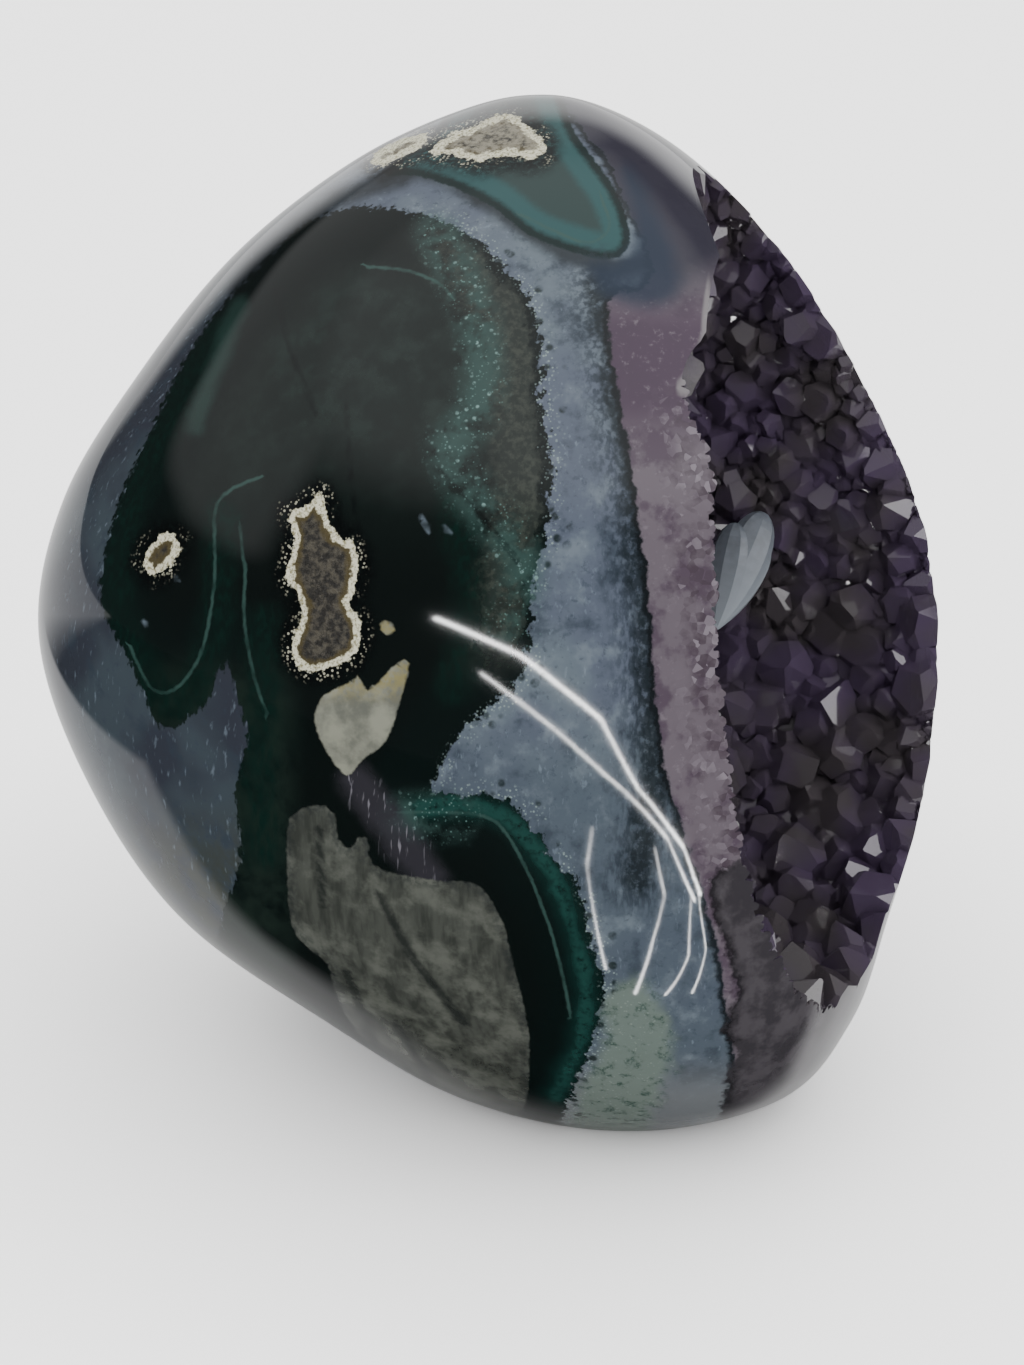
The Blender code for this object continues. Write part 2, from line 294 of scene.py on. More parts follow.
def agateMaterial():
    # Moss agate under a high polish: deep colour beneath sharp, clear reflections
    material, shader, add, connect = newMaterial("moss agate, high polish")
    place = add("TexCoord", out="Object")

    def noise(sizeMm, detail=4.0, roughness=0.55, shift=0.0, distortion=0.0):
        moved = add("VectorMath", {0: place, 1: (shift, shift, shift)}, operation="ADD")
        values = {"Vector": moved, "Scale": 1000 / sizeMm, "Detail": detail}
        values.update({"Roughness": roughness, "Distortion": distortion})
        return add("TexNoise", values)

    def grained(turn, stretch, scale, detail):
        # Noise that is drawn out along one direction
        values = {"Vector": place, "Rotation": turn, "Scale": (1.0, 1.0, stretch)}
        turned = add("Mapping", values)
        return add("TexNoise", {"Vector": turned, "Scale": scale, "Detail": detail})

    def span(value, start, stop, low=0.0, high=1.0):
        values = {"Value": value, "From Min": start, "From Max": stop}
        values.update({"To Min": low, "To Max": high})
        return add("MapRange", values, interpolation_type="SMOOTHSTEP")

    def times(*values):
        result = values[0]
        for value in values[1:]:
            result = add("Math", {0: result, 1: value}, operation="MULTIPLY")
        return result

    def plus(a, b):
        return add("Math", {0: a, 1: b}, operation="ADD")

    def distance(name, rough=0.0, texture=None):
        # A marking's distance in mm, with its edge made ragged
        plain = add("Attribute", attribute_name=name, out="Fac")
        if not rough:
            return plain
        shifted = plus(texture or fine, -0.5)
        return plus(plain, times(shifted, rough))

    def over(top, mask, below):
        top, below = (hexColour(c) if isinstance(c, str) else c for c in (top, below))
        return add("Mix", {0: mask, 6: below, 7: top}, out=2, data_type="RGBA")

    def paint(top, *masks):  # one more layer on the stone's colour
        nonlocal colour
        colour = over(top, times(*masks), colour)

    fine = noise(0.9, 5.0, 0.65)
    medium = noise(4.0, 4.0, 0.6, shift=0.3)
    broad = noise(16.0, 3.0, 0.5, shift=0.7)
    grain = noise(0.35, 3.0, 0.7, shift=1.1)
    teeth = noise(1.7, 3.0, 0.6, shift=1.7)
    fibres = grained((0.3, 0.5, 0.0), 0.3, 1600.0, 4.0)
    dots = add("TexVoronoi", {"Vector": place, "Scale": 1000 / 0.45})
    specks = add("TexVoronoi", {"Vector": place, "Scale": 1000 / 1.1})
    side = add("Attribute", attribute_name="side", out="Fac")
    height, across = distance("height"), distance("across")

    # Chalcedony: blue grey in soft clouds, duskier at the left, with painted shade that darkens it
    # lower down, and pale fibres
    dusky = plus(span(across, -14.0, -32.0), times(side, span(broad, 0.4, 0.6)))
    light = over("#636e77", span(broad, 0.42, 0.62), "#565e6c")
    # Painted shade: the paler chalcedony turns darker lower down, where less light falls
    light = over("#47515c", times(span(height, 56.0, 40.0), 0.75), light)
    dark = over("#3d464d", span(broad, 0.42, 0.62), "#32363f")
    dark = over("#3c403b", times(span(height, 44.0, 30.0), span(medium, 0.3, 0.6)), dark)
    colour = over(dark, dusky, light)
    paint("#77828b", span(medium, 0.5, 0.75), span(dusky, 1.0, 0.0), 0.6)
    paint("#323b45", span(medium, 0.48, 0.3), 0.7)
    paint("#8796a4", span(fibres, 0.6, 0.76), 0.35)
    paint("#343d49", span(fine, 0.45, 0.3), 0.45)
    # Painted reflection: a paler grey along the foot, for the pale floor mirrored there
    paint("#75787a", span(height, 11.0, 3.0), 0.8)

    # Grey green mottling at the foot
    mottled = distance("mottled", 4.0, medium)
    paint("#6d7a72", span(mottled, 1.0, -1.5), 0.85)
    spots = times(span(mottled, 2.0, -1.0), span(teeth, 0.5, 0.66), span(grain, 0.3, 0.6))
    paint("#2f463e", spots, 0.85)
    spots = times(span(mottled, 1.5, -1.0), span(dots, 0.4, 0.2), span(fine, 0.5, 0.6))
    paint("#8b9890", spots, 0.5)

    # Dark lines that run beside the moss
    grey = distance("grey", 1.2, medium)
    paint("#1c2226", span(grey, 2.2, 0.3), 0.85)

    # The lobe at the top: a bright teal rim about a grey core
    lobe = distance("topLobe", 0.8)
    paint("#0b2221", span(lobe, 0.25, -0.1))
    paint("#2a4f50", span(lobe, -0.5, -1.4))
    paint("#2c3b39", span(lobe, -2.6, -4.0), 0.9)

    # Moss: green black with a ragged edge, on the hidden sides in clouds of its own
    right = span(across, -12.0, 0.0)
    ragged = times(plus(teeth, -0.5), right, 3.6)
    front = plus(plus(distance("moss", 1.6), times(plus(fibres, -0.5), 1.8)), ragged)
    cloud = times(plus(noise(42.0, 3.0, 0.45, shift=2.0, distortion=0.6), -0.52), -150.0)
    hidden = plus(cloud, times(plus(fine, -0.5), 1.5))
    moss = add("Mix", {0: side, 2: front, 3: hidden}, data_type="FLOAT")
    inMoss = span(moss, 0.2, -0.2)
    paint("#0b1514", inMoss)
    olive = over("#3a3f39", span(fine, 0.42, 0.66), "#272d2a")
    upper = span(height, 55.0, 64.0)
    paint(olive, span(moss, -0.6, -1.8), right, upper)
    core = over("#171f1d", span(height, 66.0, 90.0), "#0c1312")
    paint(core, span(moss, -5.0, -9.0))
    clouds = times(span(moss, -5.0, -12.0), span(medium, 0.4, 0.75), span(height, 72.0, 96.0))
    paint("#26332f", clouds, 0.7)
    low = times(span(height, 62.0, 54.0), span(across, -22.0, -27.0), span(medium, 0.3, 0.6))
    paint("#1b2722", low, inMoss)

    # Dark satellites of the moss and pale grains among them, just outside its edge
    grains = add("TexVoronoi", {"Vector": place, "Scale": 1000 / 1.9})
    lone = times(span(grains, 0.38, 0.2), span(front, 3.8, 1.4), span(front, -0.6, 0.3))
    lone = times(lone, span(across, -4.0, 2.0))
    beside = times(span(front, 2.4, 0.6), span(front, -1.0, 0.2), right, span(medium, 0.42, 0.52))
    paint("#8fa09e", span(dots, 0.4, 0.2), beside, 0.75)
    paint("#16211f", lone, span(medium, 0.4, 0.5), 0.85)

    # Green veins and rims within the moss
    deep = distance("deepGreen", 2.6, medium)
    streaks = plus(times(span(fibres, 0.4, 0.7), 0.6), 0.4)
    paint("#0c231e", span(deep, 3.6, 0.6), inMoss, streaks)
    veil = times(span(distance("veil", 1.6, medium), 2.0, 0.2), inMoss, 0.4)
    paint("#2f4a44", veil)
    green = distance("green", 2.0, medium)
    inLobe = span(lobe, 0.1, -0.2)
    within = add("Math", {0: inMoss, 1: inLobe}, operation="MAXIMUM")
    paint("#0f2623", span(green, 3.0, 0.8), within)
    paint("#1d403b", span(green, 1.4, 0.3), within, span(fine, 0.3, 0.55))
    rim = times(span(moss, -4.4, -3.2), span(moss, -0.5, -1.3), side)
    paint("#0c2520", rim, 0.9)
    faint = span(medium, 0.32, 0.55, 0.25, 0.8)
    thin = add("Math", {0: distance("tealSide", 0.5)}, operation="ABSOLUTE")
    teal = times(span(thin, 0.34, 0.04), span(distance("teal"), 1.0, 0.7))
    paint("#36504b", teal, faint)
    vein = add("Math", {0: plus(moss, 4.4)}, operation="ABSOLUTE")
    paint("#3c6059", span(vein, 0.35, 0.08), side, faint)

    # Pale teal specks, dust and grains
    band = span(distance("speckles", 4.0, medium), 4.5, 0.8)
    speck = times(span(specks, 0.3, 0.14), span(medium, 0.4, 0.55), band)
    paint("#37504c", band, span(medium, 0.35, 0.6), 0.75)
    paint("#5f7f7a", span(dots, 0.34, 0.15), band, span(fine, 0.45, 0.6), 0.8)
    paint("#7f9f9b", speck, span(fine, 0.4, 0.6), 0.85)

    # Small white marks in the black
    mark = span(distance("white", 0.6), 0.6, -0.2)
    paint("#93a3b3", mark, span(fine, 0.3, 0.55), 0.8)

    # Faint dark cracks
    cracks = distance("cracks", 0.8)
    paint("#0a0e0f", span(cracks, 0.6, 0.05), 0.6)

    # Brushed scratches below the wedge
    scratches = grained((0.0, -0.55, 0.0), 0.06, 2600.0, 2.0)
    scratch = span(distance("scratched", 2.0, medium), 3.4, 0.8)
    paint("#38363d", scratch, 0.7)
    paint("#8d8b94", scratch, span(scratches, 0.6, 0.72), 0.6)

    # Pale calcite, flush in the polish, with brushed grain and an ochre stain at the wedge's top
    calciteArea = distance("paleCalcite", 0.6)
    brushed = grained((0.0, 0.5, 0.0), 0.2, 900.0, 5.0)
    pale = over("#474a45", span(brushed, 0.36, 0.66), "#363935")
    pale = over("#60635c", times(span(medium, 0.42, 0.7), 0.85), pale)
    pale = over("#23282a", times(span(calciteArea, -1.8, -0.2), span(fine, 0.4, 0.6), 0.5), pale)
    wedge = over("#8c8e80", span(medium, 0.35, 0.65), "#666860")
    wedge = over("#8c8458", times(span(height, 53.0, 57.0), span(fine, 0.35, 0.6), 0.8), wedge)
    pale = over(wedge, span(height, 42.0, 44.0), pale)
    pale = over("#1f2322", times(span(cracks, 0.9, 0.15), 0.8), pale)
    paint(pale, span(calciteArea, 0.1, -0.25))

    # Host rock: cream crust with crumbs about a brown grey core, in a black halo
    rock = distance("hostRock", 1.6, teeth)
    rock = plus(rock, times(plus(fine, -0.5), 0.8))
    paint("#06090a", span(rock, 3.2, 0.9), span(fine, 0.3, 0.55), 0.9)
    crumbs = times(span(dots, 0.42, 0.25), span(rock, 1.9, 0.5), span(medium, 0.46, 0.58))
    paint("#b9b7a3", crumbs, 0.85)
    cream = over("#e6e3c8", span(grain, 0.35, 0.55), "#8d875f")
    crust = span(rock, 0.25, 0.05)
    paint(cream, crust)
    inner = over("#514c3f", span(fine, 0.4, 0.65), "#25221d")
    inner = over("#4d421b", span(rock, -1.6, -0.9), inner)
    # Painted light: the cores of the spots near the top are paler, where the top catches more
    # light
    inner = over("#8f8a78", times(span(height, 116.0, 119.0), span(fine, 0.3, 0.6)), inner)
    paint(inner, span(rock, -0.55, -0.8))

    # Quartz about the hollow: a ragged dark line, then mauve, with painted lit and shaded facets
    # towards the rim
    quartz = distance("quartz", 2.2, teeth)
    beside = distance("darkBand", 3.6, medium)
    paint("#2b333c", span(beside, 6.5, 1.5), span(fibres, 0.36, 0.6), 0.8)
    paint("#1c2327", span(beside, 2.8, 0.9), span(fine, 0.3, 0.52), 0.85)
    paint("#15191c", span(quartz, 1.3, 0.4), span(quartz, -0.5, 0.2), 0.9)
    high = times(span(height, 84.0, 92.0), span(height, 108.0, 100.0))
    mauve = over("#4a3c4b", high, "#655d65")
    mauve = over("#493c4a", times(span(medium, 0.46, 0.62), 0.75), mauve)
    mauve = over("#7d757d", times(span(fine, 0.55, 0.72), 0.5), mauve)
    wall = distance("wall")
    cells = add("TexVoronoi", {"Vector": place, "Scale": 1000 / 0.9}, out="Color")
    # Painted light and shade: pale and dark cells near the hollow's edge, as lit and shaded
    # crystal facets
    paintedFacetLight = times(span(wall, 4.6, 0.8), span(height, 96.0, 86.0), span(medium, 0.32, 0.52))
    shade = over("#8b838c", span(cells, 0.62, 0.85), "#41373f")
    mauve = over(shade, times(paintedFacetLight, span(cells, 0.2, 0.6), 0.7), mauve)
    mauve = over("#33323d", times(span(distance("darkTop"), 3.0, -5.0), 0.95), mauve)
    paint(mauve, span(quartz, 0.25, -0.2))
    blue = distance("darkBlue", 2.0, medium)
    paint("#1f2c3e", span(blue, 1.5, -1.5), 0.85)
    massive = distance("massive", 3.0, teeth)
    lump = over("#49464a", span(medium, 0.4, 0.6), "#333135")
    lump = over("#1a191c", times(span(massive, -1.8, 0.0), span(medium, 0.42, 0.55)), lump)
    paint(lump, span(massive, 0.5, -0.4), 0.95)
    # Painted highlight: a pale line along the hollow's edge, for light caught on its rounded lip
    paintedLipHighlight = times(span(distance("paintedLipHighlight"), 1.6, 0.6), span(wall, 0.75, 0.3), 0.6)
    paint("#8f8d8d", paintedLipHighlight)

    rough = add("Mix", {0: crust, 2: 0.055, 3: 0.5}, data_type="FLOAT")
    relief = {"Strength": times(crust, 0.6), "Distance": 0.0004, "Height": grain}
    bump = add("Bump", relief, out="Normal")
    connect(shader, {"Base Color": colour, "Roughness": rough, "IOR": 1.54, "Normal": bump})
    return material


def amethystMaterial():
    # Amethyst, natural faces: dark violet depth, glassy glints and paler smoky patches
    material, shader, add, connect = newMaterial("amethyst, natural crystal faces")
    place = add("TexCoord", out="Object")
    cloud = add("TexNoise", {"Vector": place, "Scale": 90.0, "Detail": 3.0})
    patch = add("MapRange", {"Value": cloud, "From Min": 0.4, "From Max": 0.62})
    violet, smoky = hexColour("#5e5069"), hexColour("#5a5458")
    colour = add("Mix", {0: patch, 6: violet, 7: smoky}, out=2, data_type="RGBA")
    connect(shader, {"Base Color": colour, "Roughness": 0.06, "IOR": 1.545})
    connect(shader, {"Transmission Weight": 0.45})
    depth = add("VolumeAbsorption", {"Color": hexColour("#9c86b4"), "Density": 60.0})
    output = material.node_tree.nodes["Material Output"]
    connect(output, {"Volume": depth})
    return material


def seamMaterial():
    # Milky quartz where the crust has grown on the agate: matt and pale, seen through the crystals
    material, shader, add, connect = newMaterial("milky quartz, grown seam")
    connect(shader, {"Base Color": hexColour("#5d5263"), "Roughness": 0.6})
    return material


def calciteMaterial():
    # Calcite, pearly cleavage: bluish grey, paler at its foot, with fine lines
    material, shader, add, connect = newMaterial("calcite, pearly cleavage")
    place = add("TexCoord", out="Object")
    lines = add("TexNoise", {"Vector": place, "Scale": 900.0, "Detail": 3.0})
    tone = add("MapRange", {"Value": lines, "From Min": 0.35, "From Max": 0.65})
    low, high = hexColour("#2a2f39"), hexColour("#454b56")
    colour = add("Mix", {0: tone, 6: low, 7: high}, out=2, data_type="RGBA")
    rise = add("SeparateXYZ", {0: place}, out="Z")
    near = add("MapRange", {"Value": rise, "From Min": 0.071, "From Max": 0.058})
    colour = add("Mix", {0: near, 6: colour, 7: hexColour("#8c939b")}, out=2, data_type="RGBA")
    connect(shader, {"Base Color": colour, "Roughness": 0.45, "IOR": 1.55})
    return material


geodeMaterials = [agateMaterial(), amethystMaterial(), seamMaterial(), calciteMaterial()]


studio = {
    "dim": 0.06,  # the room's glow behind the camera
    "fill": 0.9,  # an even glow that lights the stone and isn't reflected
    "floorGlow": 1.6,  # the floor's own glow, which only the camera sees
    "floorSize": 4.0,
    "paintedShadowReach": 0.06,  # how near the stone the floor's glow fades: a painted contact shadow
    "window": ((0.55, -0.12, 0.30), 0.24, 5.0),  # place, side and radiance of a soft light
    "front": ((0.15, -1.0, 0.8), 0.8, 1.2),  # the same, for a light that no reflection shows
    "room": (  # glow of its ceiling, back wall and left wall; directions with start and full
        (0.72, (((0, 0, 1), 0.62, 0.84),)),
        (1.8, (((0, 1, 0), 0.76, 0.93),)),
        (0.55, (((0, 0, 1), 0.40, 0.50), ((-0.8, 0.6, 0), 0.28, 0.42))),
    ),
    "bars": (  # where the polish mirrors the photo's streaks: points, width per distance, radiance
        (
            ((-0.311, -0.603, 0.358), (-0.172, -0.678, 0.309), (-0.106, -0.708, 0.262),
             (-0.025, -0.731, 0.206)),
            0.010,
            70.0,
        ),
        (
            ((-0.025, -0.731, 0.206), (0.047, -0.748, 0.063), (0.09, -0.36, 0.003),
             (0.066, -0.177, 0.003)),
            0.006,
            80.0,
        ),
        (
            ((-0.242, -0.672, 0.26), (-0.11, -0.728, 0.167), (0.008, -0.748, 0.066),
             (0.077, -0.447, 0.003), (0.058, -0.168, 0.003)),
            0.0045,
            70.0,
        ),
        (((-0.039, -0.549, 0.003), (-0.015, -0.259, 0.003), (0.009, -0.088, 0.003)), 0.004, 30.0),
        (((0.049, -0.381, 0.003), (0.038, -0.186, 0.003), (0.016, -0.076, 0.003)), 0.004, 40.0),
        (((0.057, -0.176, 0.003), (0.037, -0.105, 0.003), (0.023, -0.077, 0.003)), 0.004, 40.0),
        (((0.066, -0.185, 0.003), (0.047, -0.108, 0.003), (0.031, -0.079, 0.003)), 0.004, 40.0),
    ),
    "shadeSheet": {  # a dark reflection of the floor around the stone: painted shade, standing for the floor in shadow
        "clear": ((-0.13, 0.15), (-0.026, 9.0)),  # from and to, along X and Y
        "ends": (0.06, 0.12),  # along Y
        "soft": 0.012,
        "size": 4.0,
        "height": 0.0005,  # above the floor
    },
}


def standing():
    x, y = stone["outlineCentre"]
    lean = Matrix.Rotation(math.radians(-stone["leanDeg"]), 4, "X")
    return Matrix.Scale(metresInMm, 4) @ Matrix.Translation((-x, -y, -stone["ground"])) @ lean


def curve(a, b, c, d, t):  # Catmull-Rom, from b to c
    straight = 2 * b + (c - a) * t
    bend = (2 * a - 5 * b + 4 * c - d) * t**2 + (3 * b - a - 3 * c + d) * t**3
    return 0.5 * (straight + bend)


def sliceAt(share):
    slices = stone["slices"]
    ends = [(h, right, left, back, front) for h, left, right, front, back in slices]
    rows = [ends[1], *slices, ends[-2]]
    place = share * (len(slices) - 1)
    i = min(int(place), len(slices) - 2)
    return [curve(*column, place - i) for column in zip(*rows[i : i + 4])]


def onSlice(row, angle):
    height, left, right, front, back = row
    power = 2 / stone["fullness"]
    across = math.copysign(abs(math.cos(angle)) ** power, math.cos(angle))
    along = math.copysign(abs(math.sin(angle)) ** power, math.sin(angle))
    shift = stone["backShift"] if along > 0 else stone["frontShift"]
    across += shift * (1 - across**2) * abs(along)
    x = (left + right) / 2 + across * (right - left) / 2
    y = (front + back) / 2 + along * (back - front) / 2
    return Vector((x, y, height))


def finished(bm, name, kind=0):
    bmesh.ops.recalc_face_normals(bm, faces=bm.faces)
    for face in bm.faces:
        face.material_index = kind
    mesh = bpy.data.meshes.new(name)
    for material in geodeMaterials:
        mesh.materials.append(material)
    bm.to_mesh(mesh)
    bm.free()
    return mesh


def stoneMesh(withFoot=True):
    bm = bmesh.new()
    bmesh.ops.create_uvsphere(
        bm, u_segments=stone["sides"], v_segments=stone["rings"], radius=1
    )
    rows = {}
    for vert in bm.verts:
        x, y, z = vert.co
        share = round(math.acos(max(-1, min(1, -z))) / math.pi * stone["rings"]) / stone["rings"]
        if share not in rows:
            rows[share] = sliceAt(share)
        angle = math.atan2(y, x)
        vert.co = onSlice(rows[share], angle - stone["frontDensity"] * math.cos(angle))
    bmesh.ops.transform(bm, matrix=standing(), verts=bm.verts)
    if not withFoot:
        return finished(bm, "round stone")
    cut = bmesh.ops.bisect_plane(
        bm,
        geom=[*bm.verts, *bm.edges, *bm.faces],
        plane_co=(0, 0, 0),
        plane_no=(0, 0, 1),
        clear_inner=True,
    )
    footRim = [item for item in cut["geom_cut"] if isinstance(item, bmesh.types.BMEdge)]
    bmesh.ops.edgeloop_fill(bm, edges=footRim)
    return finished(bm, "stone", kindPolished)


def mouthTurn():
    return np.array(Matrix.Rotation(math.radians(hollow["mouthTurnDeg"]), 3, "Z"))


def wallPoints(directions, quartz=0.0):
    # Where lines from the hollow's middle meet its wall, or the quartz's outer side
    turn = mouthTurn()
    start = np.array(hollow["middle"])
    reach = np.zeros(len(directions))
    for centre, radii, depth in hollow["lobes"]:
        size = np.array(radii) + depth * quartz
        a = (start - np.array(centre)) @ turn / size
        b = directions @ turn / size
        ab, bb = b @ a, (b * b).sum(axis=1)
        root = ab**2 - bb * (a @ a - 1)
        far = (np.sqrt(np.maximum(root, 0)) - ab) / bb
        reach = np.maximum(reach, np.where(root > 0, far, 0))
    return start + directions * reach[:, None]


def spreadDirections(points):  # evens out directions over the long hollow
    spread = mouthTurn() @ np.diag(hollow["lobes"][1][1])
    directions = np.asarray(points) @ spread.T
    return directions / np.linalg.norm(directions, axis=1)[:, None]


def wallMesh(name, kind, quartz=0.0):
    bm = bmesh.new()
    bmesh.ops.create_uvsphere(
        bm, u_segments=hollow["sides"], v_segments=hollow["rings"], radius=1
    )
    directions = spreadDirections([vert.co for vert in bm.verts])
    for vert, place in zip(bm.verts, wallPoints(directions, quartz)):
        vert.co = place
    bmesh.ops.transform(bm, matrix=standing(), verts=bm.verts)
    return finished(bm, name, kind)


def crystalKind(rng):
    # A six-sided column, cut off by six slopes that meet near its axis
    bm = bmesh.new()
    prism = rng.uniform(*crystals["prism"])
    foot = crystals["root"]
    bmesh.ops.create_cone(bm, cap_ends=True, segments=6, radius1=1, radius2=1, depth=6)
    bmesh.ops.translate(bm, verts=bm.verts, vec=(0, 0, 3 - foot))
    turn = rng.uniform(0, 1)
    for side in range(6):
        angle = math.radians(60 * side + 30)
        slope = math.radians(rng.uniform(*crystals["slopeDeg"]))
        outward = Vector((math.cos(angle), math.sin(angle), 0))
        step = crystals["minor"][side % 2 != round(turn)]
        offset = prism + rng.uniform(-1, 1) * crystals["uneven"] + step
        bmesh.ops.bisect_plane(
            bm,
            geom=[*bm.verts, *bm.edges, *bm.faces],
            plane_co=outward * crystals["slopeFoot"] + Vector((0, 0, offset)),
            plane_no=outward * math.sin(slope) + Vector((0, 0, math.cos(slope))),
            clear_outer=True,
        )
        bmesh.ops.holes_fill(bm, edges=[edge for edge in bm.edges if edge.is_boundary])
    bmesh.ops.dissolve_degenerate(bm, dist=0.001, edges=bm.edges)
    return finished(bm, "crystal kind", kindCrystal)


def inStone(points):
    slices = np.array(stone["slices"])
    row = [np.interp(points[:, 2], slices[:, 0], slices[:, i]) for i in range(1, 5)]
    left, right, front, back = row
    across = (2 * points[:, 0] - left - right) / (right - left + 1e-6)
    along = (2 * points[:, 1] - front - back) / (back - front + 1e-6)
    inside = np.hypot(across, along) < 1
    return inside & (points[:, 2] > slices[0, 0]) & (points[:, 2] < slices[-1, 0])


def drawnFeet(rng, tries):
    # Random places on the hollow's wall, and the leaning axes of crystals there
    directions = spreadDirections(rng.normal(size=(tries, 3)))
    feet = wallPoints(directions)
    step = 0.02
    side = np.cross(directions, (0.31, 0.95, 0.05))
    side *= step / np.linalg.norm(side, axis=1)[:, None]
    other = np.cross(directions, side)
    one = wallPoints(unit(directions + side)) - feet
    two = wallPoints(unit(directions + other)) - feet
    normals = unit(np.cross(one, two))
    normals *= np.where((normals * directions).sum(axis=1) > 0, -1, 1)[:, None]
    return feet, unit(normals + rng.normal(size=normals.shape) * crystals["lean"])


def spaced(feet, radii, order):
    # The feet that stand clear of the ones kept before them
    kept = []
    for i in order:
        room = (radii[i] + radii[kept]) * crystals["spacing"] / 2
        if not kept or (np.linalg.norm(feet[kept] - feet[i], axis=1) >= room).all():
            kept.append(i)
    return kept


def crystalPlaces(rng):
    # Feet, axes and radii of the crystals on the hollow's wall
    feet, axes = drawnFeet(rng, crystals["tries"])
    rise = (feet[:, 2] - feet[:, 2].min()) / (feet[:, 2].max() - feet[:, 2].min())
    low, high = crystals["radius"]
    radii = (low + (high - low) * rise) * rng.uniform(*crystals["varies"], size=len(rise))
    kept = spaced(feet, radii, np.flatnonzero(inStone(feet)))
    return feet[kept], axes[kept], radii[kept]


def rimPlaces(rng, surface):
    # The same for the small crystals where the hollow's wall meets the polished surface
    rim = crystals["rim"]
    feet, axes = drawnFeet(rng, rim["tries"])
    depths = np.empty(len(feet))
    for i, foot in enumerate(feet):
        place = standing() @ Vector(foot)
        nearest, normal, _, _ = surface.find_nearest(place)
        depths[i] = (place - nearest).dot(normal) / metresInMm
    low, high = rim["depth"]
    usable = (depths > low) & (depths < high) & (feet[:, 2] < rim["highest"])
    radii = rng.uniform(*rim["radius"], size=len(feet))
    kept = spaced(feet, radii, np.flatnonzero(usable))
    return feet[kept], axes[kept], radii[kept]


def unit(vectors):
    return vectors / np.linalg.norm(vectors, axis=1)[:, None]


def crystalGroups(surface):
    # Meshes of crystals that don't touch within a group, so that groups join cleanly
    rng = np.random.default_rng(crystals["seed"])
    pick = random.Random(crystals["seed"])
    kinds = [crystalKind(pick) for _ in range(crystals["kinds"])]
    found = [crystalPlaces(rng), rimPlaces(rng, surface)]
    print("crystals", [len(part[0]) for part in found])
    feet, axes, radii = (np.concatenate(parts) for parts in zip(*found))
    middles = feet + axes * radii[:, None] * crystals["middle"]
    groups = []
    for i in range(len(feet)):
        for members in groups:
            gap = np.linalg.norm(middles[members] - middles[i], axis=1)
            if (gap > crystals["apart"] * (radii[members] + radii[i])).all():
                members.append(i)
                break
        else:
            groups.append([i])
    meshes = []
    for members in groups:
        bm = bmesh.new()
        for i in members:
            mesh = pick.choice(kinds).copy()
            axis = Vector(axes[i])
            turn = axis.to_track_quat("Z", "X").to_matrix().to_4x4()
            spin = Matrix.Rotation(pick.uniform(0, math.tau), 4, "Z")
            size = Matrix.Scale(radii[i], 4)
            mesh.transform(standing() @ Matrix.Translation(feet[i]) @ turn @ spin @ size)
            bm.from_mesh(mesh)
            bpy.data.meshes.remove(mesh)
        meshes.append(finished(bm, "crystals", kindCrystal))
    return meshes


def calciteMeshes():
    meshes = []
    for (width, thickness, length), tilts in calcite["leaves"]:
        bm = bmesh.new()
        bmesh.ops.create_uvsphere(bm, u_segments=8, v_segments=14, radius=1)
        for vert in bm.verts:
            x, y, z = vert.co
            share = ((z + 1) / 2) ** (math.log(calcite["fullest"]) / math.log(0.5))
            vert.co = (x * width, y * thickness, (share - 0.05) * length)
        turn = Matrix.Translation(calcite["foot"])
        for axis, degrees in zip("ZYX", reversed(tilts)):
            turn = turn @ Matrix.Rotation(math.radians(degrees), 4, axis)
        bmesh.ops.transform(bm, matrix=standing() @ turn, verts=bm.verts)
        meshes.append(finished(bm, "calcite", kindCalcite))
    return meshes


def combined(first, second, operation):
    # The mesh of a Boolean of two meshes, which are removed
    objects = [bpy.data.objects.new("operand", mesh) for mesh in (first, second)]
    for obj in objects:
        bpy.context.scene.collection.objects.link(obj)
    boolean = objects[0].modifiers.new("combine", "BOOLEAN")
    boolean.operation = operation
    boolean.object = objects[1]
    boolean.solver = "MANIFOLD"
    shown = objects[0].evaluated_get(bpy.context.evaluated_depsgraph_get())
    mesh = bpy.data.meshes.new_from_object(shown)
    for obj in objects:
        used = obj.data
        bpy.data.objects.remove(obj)
        bpy.data.meshes.remove(used)
    return mesh


def smoothed(points, closed):
    # A curve through the points, as short straight pieces
    points = np.array(points, float)
    steps = np.linspace(0, 1, picture["steps"], endpoint=False)[:, None]
    if closed:
        before, after, beyond = (np.roll(points, shift, axis=0) for shift in (1, -1, -2))
    else:
        before = np.vstack([points[:1], points[:-1]])
        after = np.vstack([points[1:], points[-1:]])
        beyond = np.vstack([after[1:], points[-1:]])
    rows = zip(before, points, after, beyond)
    pieces = [curve(a, b, c, d, steps) for a, b, c, d in rows]
    return np.vstack(pieces)


def lineDistance(places, line, closed):
    # Less than 0 within an outline, or at the right of an open line
    starts = smoothed(line, closed)
    stops = np.roll(starts, -1, axis=0)
    if not closed:
        starts, stops = starts[:-1], stops[:-1]
    nearest = np.full(len(places), np.inf)
    beside = np.ones(len(places))
    inside = np.zeros(len(places), bool)
    for start, stop in zip(starts, stops):
        along = stop - start
        away = places - start
        share = np.clip(away @ along / max(along @ along, 1e-9), 0, 1)
        gap = np.linalg.norm(away - share[:, None] * along, axis=1)
        onLeft = along[0] * away[:, 1] > along[1] * away[:, 0]
        beside = np.where(gap < nearest, np.where(onLeft, 1, -1), beside)
        nearest = np.minimum(nearest, gap)
        crosses = (start[1] > places[:, 1]) != (stop[1] > places[:, 1])
        rise = (places[:, 1] - start[1]) / (along[1] if along[1] else 1e-9)
        inside ^= crosses & (places[:, 0] < start[0] + rise * along[0])
    return nearest * (np.where(inside, -1, 1) if closed else beside)


